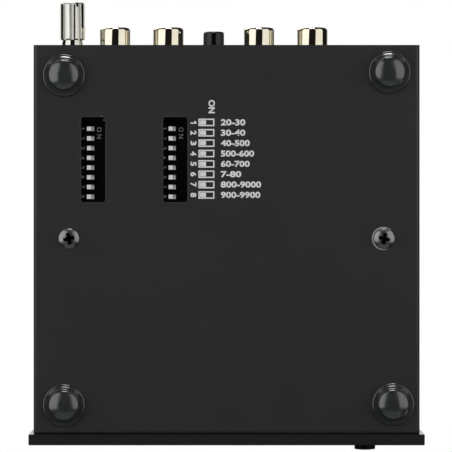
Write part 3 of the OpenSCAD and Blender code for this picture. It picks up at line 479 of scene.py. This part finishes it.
def print_ink(name, colour, wear):
    """Screen printed ink: nearly even, slightly thin in places."""
    s = Shader(name, colour, 0.6)
    s.set("Specular IOR Level", 0.3)
    thin = tuple(c * (1 - wear) for c in colour)
    s.paint(s.mix(s.patches(0.35 * MM, 2.0, low=0.35, high=0.65), thin, colour))
    s.bump(s.noise(0.1 * MM, detail=1.0), depth=0.004 * MM, strength=0.5)
    return s.material


def grey(value):
    """A grey with a trace of blue."""
    return (value, value, value * 1.03)


# Each material is named as its slot in the record, or as the print that it stands for
MATERIALS = {
    "black_steel": (powder_coat, (0.0157, 0.0157, 0.0171), 0.36, 0.4),
    "black_panel": (anodised, grey(0.0115), 0.2),
    "rubber": (rubber,),
    "black_screw": (dark_metal, grey(0.26), 0.28),
    "bright_screw": (polished_metal, (0.62, 0.62, 0.60), 0.25),
    "standoff_brass": (polished_metal, (0.62, 0.50, 0.28), 0.25),
    "board": (circuit_board,),
    "socket_black": (moulded, grey(0.0015), 0.2),
    "gold": (polished_metal, (0.86, 0.81, 0.66), 0.05, 0.001 * MM),
    "insulator_white": (moulded, (0.80, 0.79, 0.75), 0.35),
    "insulator_red": (moulded, (0.45, 0.02, 0.02), 0.35),
    "contact_tin": (polished_metal, (0.75, 0.75, 0.74), 0.2),
    "knob_chrome": (knob_metal,),
    "wire_green": (moulded, (0.03, 0.20, 0.06), 0.35),
    "switch_black": (moulded, grey(0.0015), 0.6, 1.2),
    "slider_white": (slider_plastic,),
    "button_black": (moulded, grey(0.0025), 0.35, 1.2),
    "plunger_white": (moulded, (0.72, 0.72, 0.68), 0.45),
    "spring_steel": (polished_metal, (0.60, 0.60, 0.60), 0.25),
    "led_clear": (clear_epoxy,),
    "chip_black": (moulded, grey(0.015), 0.5),
    "capacitor_sleeve": (moulded, (0.03, 0.04, 0.10), 0.25),
    "film_red": (moulded, (0.35, 0.03, 0.02), 0.3),
    "resistor_dark": (moulded, grey(0.03), 0.5),
    "legend_ink": (print_ink, (0.57, 0.57, 0.56), 0.12),
    "faint_ink": (print_ink, (0.24, 0.24, 0.22), 0.45),
    "bare_steel": (bare_steel,),
}


def make_materials():
    return {name: make(name, *values) for name, (make, *values) in MATERIALS.items()}


# ---------------------------------------------------------------- studio

# An untinted lamp's colour, and the point near the plate that most lamps aim at
WHITE = (1.0, 1.0, 1.0)
MIDDLE = (0.0, 0.0, 0.01)


def softbox(name, place, width, height, radiance, aim=MIDDLE, tint=WHITE, matt=True, gloss=True):
    """A rectangular lamp of the given radiance that the camera doesn't see, its width level.

    matt and gloss say whether it lights matt surfaces and whether shiny ones mirror it.
    """
    lamp = bpy.data.lights.new(name, "AREA")
    lamp.shape = "RECTANGLE"
    lamp.size = width
    lamp.size_y = height
    lamp.energy = radiance * math.pi * width * height
    lamp.color = tint
    obj = link(bpy.data.objects.new(name, lamp))
    turn = (Vector(aim) - Vector(place)).to_track_quat("-Z", "Y")
    obj.matrix_world = Matrix.Translation(Vector(place)) @ turn.to_matrix().to_4x4()
    obj.visible_camera = False
    obj.visible_diffuse = matt
    obj.visible_glossy = gloss


def make_underside_lamps():
    """Lights the photograph's side: some lamps for matt surfaces only, some to be mirrored only."""
    # Two large boxes beside the camera, mirrored in the feet and sockets, the right one a little warmer
    reach = 0.5
    angle = math.radians(55)
    for name, side, radiance, tint in (("left_box", 1, 1.2, (0.99, 1.0, 1.01)),
                                       ("right_box", -1, 0.95, (1.0, 1.0, 0.97))):
        place = (side * reach * math.sin(angle), 0.18, -reach * math.cos(angle))
        softbox(name, place, 0.7, 0.56, radiance, aim=(0.0, 0.13, 0.01), tint=tint, matt=False)
    # A strip behind the sockets, which draws the streaks on the feet, and a dim card at the front
    softbox("rear_strip", (0.0, 0.75, -0.12), 0.3, 0.17, 11.0, matt=False)
    softbox("front_card", (0.0, -0.5, -0.4), 0.8, 0.5, 0.2, matt=False)
    # Close to both sides, lamps that light the plate and draw the shadows of feet and screws
    for name, side in (("left_side", 1), ("right_side", -1)):
        softbox(name, (side * 0.26, 0.05, -0.20), 0.16, 0.3, 2.9, gloss=False)
    # Fill from round the camera
    softbox("under_fill", (0.0, 0.25, -1.2), 0.9, 0.9, 3.1, gloss=False)


def make_top_lamps():
    """Two boxes above that light the other sides."""
    softbox("over_front", (-0.6, -0.9, 0.8), 1.2, 0.8, 2.2)
    softbox("over_rear", (0.5, 0.9, 0.9), 1.2, 0.8, 2.2)


# What shiny parts mirror of the world: heights, from straight down, 0, to straight up, 1, with their shades
MIRRORED_SHADES = ((0.84, 0.01), (1.0, 1.0), (0.93, 0.3))
MATT_LIGHT = 0.15


def make_world():
    """White to the camera, dark with white overhead where mirrored, and a little light on matt surfaces."""
    world = bpy.data.worlds.new("studio")
    bpy.context.scene.world = world
    world.use_nodes = True
    tree = world.node_tree
    tree.nodes.clear()

    def background(level):
        node = tree.nodes.new("ShaderNodeBackground")
        node.inputs["Color"].default_value = (level, level, level, 1)
        return node

    def choose(factor, off, on):
        node = tree.nodes.new("ShaderNodeMixShader")
        tree.links.new(factor, node.inputs["Fac"])
        tree.links.new(off.outputs[0], node.inputs[1])
        tree.links.new(on.outputs[0], node.inputs[2])
        return node

    place = tree.nodes.new("ShaderNodeTexCoord")
    split = tree.nodes.new("ShaderNodeSeparateXYZ")
    tree.links.new(place.outputs["Generated"], split.inputs["Vector"])
    height = tree.nodes.new("ShaderNodeMapRange")
    tree.links.new(split.outputs["Z"], height.inputs["Value"])
    height.inputs["From Min"].default_value = -1.0
    shades = tree.nodes.new("ShaderNodeValToRGB")
    tree.links.new(height.outputs["Result"], shades.inputs["Fac"])
    stops = shades.color_ramp.elements
    for index, (position, level) in enumerate(MIRRORED_SHADES):
        stop = stops[index] if index < len(stops) else stops.new(position)
        stop.position = position
        stop.color = (level, level, level, 1)
    mirrored = background(1.0)
    tree.links.new(shades.outputs["Color"], mirrored.inputs["Color"])
    shown = background(1.0)
    ray = tree.nodes.new("ShaderNodeLightPath").outputs
    light = choose(ray["Is Glossy Ray"], background(MATT_LIGHT), mirrored)
    light = choose(ray["Is Transmission Ray"], light, shown)
    light = choose(ray["Is Camera Ray"], light, shown)
    output = tree.nodes.new("ShaderNodeOutputWorld")
    tree.links.new(light.outputs[0], output.inputs["Surface"])


# The floor's width, the distances from the middle over which it fades, and its shade
FLOOR_SIZE = 6.0
FLOOR_FADE = (0.35, 0.9)
FLOOR_GREY = 0.86


def make_floor():
    """A pale floor at z = 0, seen by the camera only, from above only, and fading into the white."""
    material = bpy.data.materials.new("floor")
    material.use_nodes = True
    tree = material.node_tree
    tree.nodes.clear()

    def node(kind, operation=None, values=()):
        made = tree.nodes.new(kind)
        if operation:
            made.operation = operation
        for socket, value in zip(made.inputs, values):
            if isinstance(value, (int, float, tuple)):
                socket.default_value = value
            else:
                tree.links.new(value, socket)
        return made.outputs

    def multiply(first, second):
        return node("ShaderNodeMath", "MULTIPLY", (first, second))["Value"]

    matt = node("ShaderNodeBsdfDiffuse", None, ((FLOOR_GREY, FLOOR_GREY, FLOOR_GREY, 1),))["BSDF"]
    clear = node("ShaderNodeBsdfTransparent")["BSDF"]
    from_below = node("ShaderNodeNewGeometry")["Backfacing"]
    from_above = node("ShaderNodeMath", "SUBTRACT", (1.0, from_below))["Value"]
    to_camera = node("ShaderNodeLightPath")["Is Camera Ray"]
    radius = node("ShaderNodeVectorMath", "LENGTH", (node("ShaderNodeTexCoord")["Object"],))["Value"]
    near = node("ShaderNodeMapRange", None, (radius, *FLOOR_FADE, 1.0, 0.0))["Result"]
    seen = multiply(multiply(from_above, to_camera), near)
    mix = node("ShaderNodeMixShader", None, (seen, clear, matt))["Shader"]
    node("ShaderNodeOutputMaterial", None, (mix,))
    half = FLOOR_SIZE / 2
    corners = [(-half, -half, 0), (half, -half, 0), (half, half, 0), (-half, half, 0)]
    mesh_object("floor", corners, [(0, 1, 2, 3)], material)


def make_camera():
    """Below the plate, looking straight up, with the photograph's frame."""
    camera = bpy.data.cameras.new("camera")
    camera.sensor_width = SENSOR_WIDTH
    camera.lens = SENSOR_WIDTH * CAMERA_DISTANCE / (PHOTO_WIDTH * PIXEL_AT_PLATE)
    camera.clip_start = 0.05
    camera.clip_end = 20
    obj = link(bpy.data.objects.new("camera", camera))
    shift = (PHOTO_CENTRE[0] - PHOTO_WIDTH / 2) * PIXEL_AT_PLATE
    obj.location = (shift, 0, PLATE_Z - CAMERA_DISTANCE)
    obj.rotation_euler = (0, math.pi, 0)
    bpy.context.scene.camera = obj


def make_studio():
    make_underside_lamps()
    make_top_lamps()
    make_world()
    make_floor()
    make_camera()


# ---------------------------------------------------------------- CAD nodes

def is_screw_head(point, normal):
    return point.z < PLATE_Z - SCREW_RIM and normal.z < -0.4


def is_foot_hollow(point, normal):
    """The fillet round a foot's dome, but for the side that mirrors the rear strip."""
    low, high = (PLATE_Z - depth for depth in FOOT_HOLLOW)
    return low < point.z < high and normal.z < -0.1 and normal.y < 0.4


def dress_nodes(materials):
    """Gives each CAD node the material of its slot and smooth shading."""
    slots = {part["node"]: part["material_slot"] for part in frame["record"]["subparts"]}
    for name, obj in frame["nodes"].items():
        obj.data.materials.clear()
        obj.data.materials.append(materials[slots[name]])
        soften(obj, KNOB_SMOOTH_ANGLE if name == "ground_knob" else SMOOTH_ANGLE)
    ease_slopes(frame["nodes"]["cover_screws"], is_screw_head, *SCREW_EASE)
    ease_slopes(frame["nodes"]["feet"], is_foot_hollow, *FOOT_EASE)


# ---------------------------------------------------------------- print

# Print lies this far in front of what carries it. The weight thickens its letters.
INK = 0.015 * MM
LEGEND_WEIGHT = 0.035


def pixel_at(depth):
    """The size of a pixel of the photograph at a depth behind the plate's face."""
    return PIXEL_AT_PLATE * (CAMERA_DISTANCE + depth) / CAMERA_DISTANCE


def from_photo(px, py, depth=0.0):
    """The point seen at a pixel of the photograph, at a depth behind the plate's face."""
    scale = pixel_at(depth)
    return Vector(((PHOTO_CENTRE[0] - px) * scale, (PHOTO_CENTRE[1] - py) * scale, PLATE_Z + depth))


def facing_down(place, turned=False):
    """Placement for print that is read from below, upright or turned a quarter clockwise."""
    right = Vector((0, -1, 0)) if turned else Vector((-1, 0, 0))
    up = Vector((-1, 0, 0)) if turned else Vector((0, 1, 0))
    out = right.cross(up)
    matrix = Matrix((right, up, out)).transposed().to_4x4()
    matrix.translation = place
    return matrix


def text_mesh(name, words, height, width, weight, material):
    """Letters as a flat mesh of a given height and width, its lower left corner at the origin."""
    curve = bpy.data.curves.new(name, "FONT")
    curve.body = words
    curve.size = 1.0
    curve.offset = weight
    curve.resolution_u = 3
    scratch = link(bpy.data.objects.new(name + "_curve", curve))
    bpy.context.view_layer.update()
    shape = scratch.evaluated_get(bpy.context.evaluated_depsgraph_get())
    mesh = bpy.data.meshes.new_from_object(shape)
    bpy.data.objects.remove(scratch)
    bpy.data.curves.remove(curve)
    mesh.name = name
    low = Vector(min(v.co[i] for v in mesh.vertices) for i in range(3))
    high = Vector(max(v.co[i] for v in mesh.vertices) for i in range(3))
    stretch = Matrix.Diagonal((width / (high.x - low.x), height / (high.y - low.y), 1, 1))
    mesh.transform(stretch @ Matrix.Translation((-low.x, -low.y, 0)))
    mesh.materials.clear()
    mesh.materials.append(material)
    return link(bpy.data.objects.new(name, mesh))


def place_text(name, words, corner, size, weight, material, turned=False, depth=-INK):
    """Print whose lower left corner, as read, lies at a pixel. Its height and width are in pixels."""
    height, width = (side * pixel_at(depth) for side in size)
    obj = text_mesh(name, words, height, width, weight, material)
    obj.data.transform(facing_down(from_photo(*corner, depth), turned))
    return dress(obj, "case")


def flat_piece(name, outlines, material, depth=-INK):
    """Flat polygons of print, given by their corners in the photograph."""
    vertices, faces = [], []
    for outline in outlines:
        start = len(vertices)
        vertices += [from_photo(x, y, depth) for x, y in outline]
        faces.append(tuple(range(start, start + len(outline))))
    return dress(mesh_object(name, vertices, faces, material), "case")


def rectangle(x0, y0, x1, y1):
    return [(x0, y0), (x1, y0), (x1, y1), (x0, y1)]


def turned_one(x, y, height, width):
    """Outline of a figure 1 turned a quarter clockwise, its foot at the left and its flag above it."""
    stem = width * 0.42
    low, top = y + width - stem, y + width
    tip = x + height
    return [(x, low), (tip - height * 0.30, low), (tip - height * 0.36, y), (tip - height * 0.18, y),
            (tip, low), (tip, top), (x, top)]


# ---------------------------------------------------------------- legend on the plate

# Places and sizes in the photograph's pixels: the rows' middles, and from left to right
# each row's digit, its picture of a switch with its slider, and its words
LEGEND_ROWS = 8
LEGEND_FIRST_Y = 122.4
LEGEND_PITCH = 10.37
DIGIT_X = 190.4
DIGIT_SIZE = (6.0, 4.4)
FIRST_DIGIT_WIDTH = 2.9
FIRST_DIGIT_RISE = 1.6
PICTURE_X = (198.4, 214.4)
PICTURE_HALF_HEIGHT = 3.75
PICTURE_LINE = 1.25
PICTURE_GAP = 0.35
PICTURE_SLIDER_END = 206.0
WORDS_X = 220.8
WORDS_DROP = 3.15
WORDS_HEIGHT = 6.4
LEGEND_WORDS = ("20-30", "30-40", "40-500", "500-600", "60-700", "7-80", "800-9000", "900-9900")
WORDS_WIDTHS = (24.6, 24.6, 29.0, 33.4, 29.0, 20.5, 40.4, 39.6)
ON_CORNER = (208.4, 99.9)
ON_SIZE = (6.6, 13.4)


def make_legend(materials):
    """Row numbers, small switch pictures and plain numbers beside the inner window."""
    ink = materials["legend_ink"]
    left, right = PICTURE_X
    line = PICTURE_LINE
    inset = line + PICTURE_GAP
    frames, sliders = [], []
    for row in range(LEGEND_ROWS):
        y = LEGEND_FIRST_Y + row * LEGEND_PITCH
        top, bottom = y - PICTURE_HALF_HEIGHT, y + PICTURE_HALF_HEIGHT
        frames += [rectangle(left, top, right, top + line),
                   rectangle(left, bottom - line, right, bottom),
                   rectangle(left, top + line, left + line, bottom - line),
                   rectangle(right - line, top + line, right, bottom - line)]
        sliders.append(rectangle(left + inset, top + inset, PICTURE_SLIDER_END, bottom - inset))
        place_text(f"legend_words_{row + 1}", LEGEND_WORDS[row], (WORDS_X, y + WORDS_DROP),
                   (WORDS_HEIGHT, WORDS_WIDTHS[row]), LEGEND_WEIGHT, ink)
        if row:
            place_text(f"legend_digit_{row + 1}", str(row + 1), (DIGIT_X, y - DIGIT_SIZE[1] / 2),
                       DIGIT_SIZE, LEGEND_WEIGHT, ink, turned=True)
    flat_piece("legend_frames", frames, ink)
    flat_piece("legend_knobs", sliders, ink)
    first = turned_one(DIGIT_X, LEGEND_FIRST_Y - FIRST_DIGIT_RISE, DIGIT_SIZE[0], FIRST_DIGIT_WIDTH)
    flat_piece("legend_digit_1", [first], ink)
    place_text("legend_on", "ON", ON_CORNER, ON_SIZE, LEGEND_WEIGHT, ink, turned=True)


# ---------------------------------------------------------------- switch blocks and their windows

# In pixels, for each block: its name, the left edges of its ON mark and its digits, and the ON's height
BLOCK_MARKS = (("outer", 96.9, 80.9, 4.7), ("inner", 178.6, 162.6, 4.9))
BLOCK_ON_Y = 127.2
BLOCK_ON_WIDTH = 11.4
BLOCK_ON_WEIGHT = 0.01
BLOCK_FIRST_Y = 128.6
BLOCK_PITCH = 9.70
BLOCK_DIGIT_SIZE = (3.7, 2.8)
BLOCK_FIRST_WIDTH = 1.8
BLOCK_FIRST_RISE = 1.2

# The rounded windows in the plate, and how far their middles stand from those of the blocks
WINDOW_W = 6.3 * MM
WINDOW_L = 22.1 * MM
WINDOW_R = 0.65 * MM
WINDOW_SHIFT = Vector((-0.6 * MM, 0.7 * MM))


def make_block_marks(materials):
    """The small digits and ON on the faces of the switch blocks."""
    ink = materials["faint_ink"]
    depth = DIP_DEPTH - INK
    for name, on_x, digit_x, on_height in BLOCK_MARKS:
        place_text(f"dip_on_{name}", "O N", (on_x, BLOCK_ON_Y), (on_height, BLOCK_ON_WIDTH),
                   BLOCK_ON_WEIGHT, ink, turned=True, depth=depth)
        for row in range(1, LEGEND_ROWS):
            y = BLOCK_FIRST_Y + row * BLOCK_PITCH
            corner = (digit_x, y - BLOCK_DIGIT_SIZE[1] / 2)
            place_text(f"dip_digit_{name}_{row + 1}", str(row + 1), corner, BLOCK_DIGIT_SIZE, 0.0, ink,
                       turned=True, depth=depth)
        first_y = BLOCK_FIRST_Y - BLOCK_FIRST_RISE
        first = turned_one(digit_x, first_y, BLOCK_DIGIT_SIZE[0], BLOCK_FIRST_WIDTH)
        flat_piece(f"dip_digit_{name}_1", [first], ink, depth)


def rounded_rectangle(middle, width, length, radius, steps=6):
    """Points round a rounded rectangle, each with its outward direction."""
    points = []
    for corner in range(4):
        side_x = 1 if corner in (0, 3) else -1
        side_y = 1 if corner < 2 else -1
        centre = Vector((middle[0] + side_x * (width / 2 - radius),
                         middle[1] + side_y * (length / 2 - radius)))
        for step in range(steps + 1):
            angle = math.radians(90 * (corner + step / steps))
            out = Vector((math.cos(angle), math.sin(angle)))
            points.append((centre + out * radius, out))
    return points


def edge_bead(name, middle, material):
    """The rounded lip of paint round a window in the plate."""
    bead = 0.16 * MM
    rise = 0.45
    turns = 6
    vertices, faces = [], []
    outline = rounded_rectangle(middle, WINDOW_W, WINDOW_L, WINDOW_R)
    for place, out in outline:
        for step in range(turns + 1):
            angle = math.pi * step / turns
            spot = place + out * bead * (1 - math.cos(angle))
            vertices.append((spot.x, spot.y, PLATE_Z - rise * bead * math.sin(angle)))
    ring = turns + 1
    for i in range(len(outline)):
        following = (i + 1) % len(outline)
        for step in range(turns):
            a, b = i * ring + step, following * ring + step
            faces.append((a, a + 1, b + 1, b))
    obj = mesh_object(name, vertices, faces, material)
    smooth(obj.data)
    return dress(obj, "case")


def make_window_edges(materials):
    blocks = {"outer": (DIP_OUTER_LOW, DIP_OUTER_HIGH), "inner": (DIP_INNER_LOW, DIP_INNER_HIGH)}
    for name, (low, high) in blocks.items():
        middle = (low + high).to_2d() / 2 + WINDOW_SHIFT
        edge_bead(f"window_edge_{name}", middle, materials["black_steel"])


def make_solder_dot(materials):
    """A blob of solder that shows in a corner of the outer window."""
    middle = from_photo(104.4, 119.8, DIP_DEPTH - 0.5 * MM)
    radius = 0.42 * MM
    flatness = 0.8
    rings, sides = 6, 12
    vertices = []
    for ring in range(rings + 1):
        tilt = math.pi * ring / rings
        for side in range(sides):
            turn = 2 * math.pi * side / sides
            out = Vector((math.sin(tilt) * math.cos(turn), math.sin(tilt) * math.sin(turn),
                          flatness * math.cos(tilt)))
            vertices.append(middle + radius * out)
    obj = mesh_object("solder_dot", vertices, tube_faces(rings, sides), materials["contact_tin"])
    smooth(obj.data)
    dress(obj, "case")


# ---------------------------------------------------------------- wear, and the button's spring

# The worn crescent round one cover screw, in pixels and degrees
WORN_CENTRE = (383.45, 238.45)
WORN_RADIUS = 11.6
WORN_WIDTH = 1.5
WORN_LEAST = 0.05
WORN_FROM, WORN_TO = 45, 295


def make_worn_ring(materials):
    """A crescent where the paint is rubbed off round one of the cover's screws, thin at its ends."""
    steps = 40
    outer, inner = [], []
    for step in range(steps + 1):
        angle = math.radians(WORN_FROM + (WORN_TO - WORN_FROM) * step / steps)
        width = WORN_WIDTH * math.sin(math.pi * step / steps) ** 0.4
        for line, reach in ((outer, WORN_RADIUS), (inner, WORN_RADIUS - max(width, WORN_LEAST))):
            line.append((WORN_CENTRE[0] + reach * math.cos(angle),
                         WORN_CENTRE[1] - reach * math.sin(angle)))
    strips = [[outer[i], outer[i + 1], inner[i + 1], inner[i]] for i in range(steps)]
    flat_piece("worn_ring", strips, materials["bare_steel"])


def make_return_spring(materials):
    """The button's return spring, a coil of wire."""
    middle = (SPRING_LOW + SPRING_HIGH) / 2
    wire = SPRING_WIRE / 2
    radius = (SPRING_HIGH.x - SPRING_LOW.x - SPRING_WIRE) / 2
    length = SPRING_HIGH.y - SPRING_LOW.y
    steps, sides = 24 * SPRING_TURNS, 8
    vertices = []
    for step in range(steps + 1):
        turn = 2 * math.pi * SPRING_TURNS * step / steps
        along = SPRING_LOW.y + wire + (length - SPRING_WIRE) * step / steps
        for side in range(sides):
            around = 2 * math.pi * side / sides
            reach = radius + wire * math.cos(around)
            vertices.append((middle.x + reach * math.cos(turn), along + wire * math.sin(around),
                             middle.z + reach * math.sin(turn)))
    faces = [tuple(reversed(face)) for face in tube_faces(steps, sides)]
    faces.append(tuple(reversed(range(sides))))
    faces.append(tuple(range(steps * sides, (steps + 1) * sides)))
    obj = mesh_object("return_spring", vertices, faces, materials["spring_steel"])
    soften(obj, SPRING_SMOOTH_ANGLE)
    dress(obj, "case")
    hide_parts("switch_spring")
    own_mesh(obj)


# ---------------------------------------------------------------- run

bpy.context.scene.view_settings.view_transform = "Standard"
materials = make_materials()
make_studio()
dress_nodes(materials)
make_legend(materials)
make_block_marks(materials)
make_window_edges(materials)
make_worn_ring(materials)
make_solder_dot(materials)
make_return_spring(materials)
